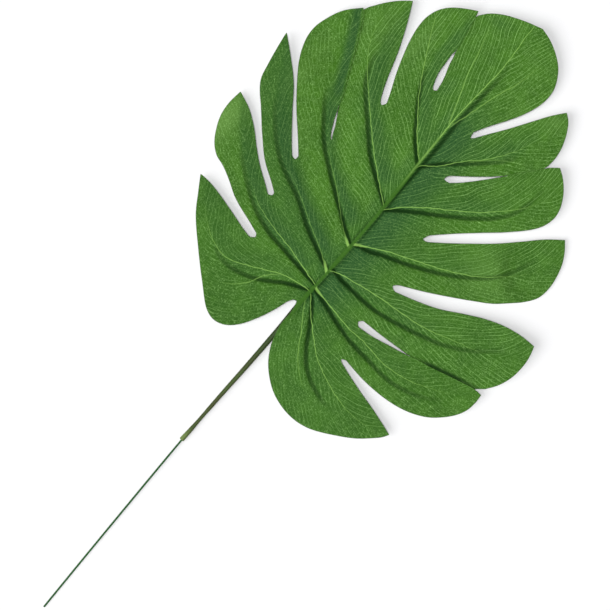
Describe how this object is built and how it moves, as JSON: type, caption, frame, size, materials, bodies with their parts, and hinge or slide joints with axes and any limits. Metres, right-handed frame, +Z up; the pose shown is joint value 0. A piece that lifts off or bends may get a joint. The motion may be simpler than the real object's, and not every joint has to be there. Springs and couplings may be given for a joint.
{
  "type": "artificial monstera leaf",
  "caption": "Artificial split-lobed leaf lying face up: pressed fabric blade with printed veins, moulded stem glued behind it as a midrib, and a coated wire shank.",
  "frame": {"origin": "middle of the base of the whole leaf's bounding box, on the surface it lies on", "axes": "+Y along the midrib from the wire's free end to the tip, +Z up out of the blade's printed face, +X to the leaf's right seen from above with the tip away"},
  "size_m": [0.2058, 0.3974, 0.0073],
  "materials": {
    "printed_fabric": "printed woven polyester, heat pressed, soft sheen",
    "moulded_plastic": "moulded olive green polyethylene",
    "green_coating": "steel wire with a thin dark green plastic coat"
  },
  "bodies": {
    "root": {"leaf_blade": "printed_fabric", "stem": "moulded_plastic", "stem_wire": "green_coating"}
  },
  "joints": []
}
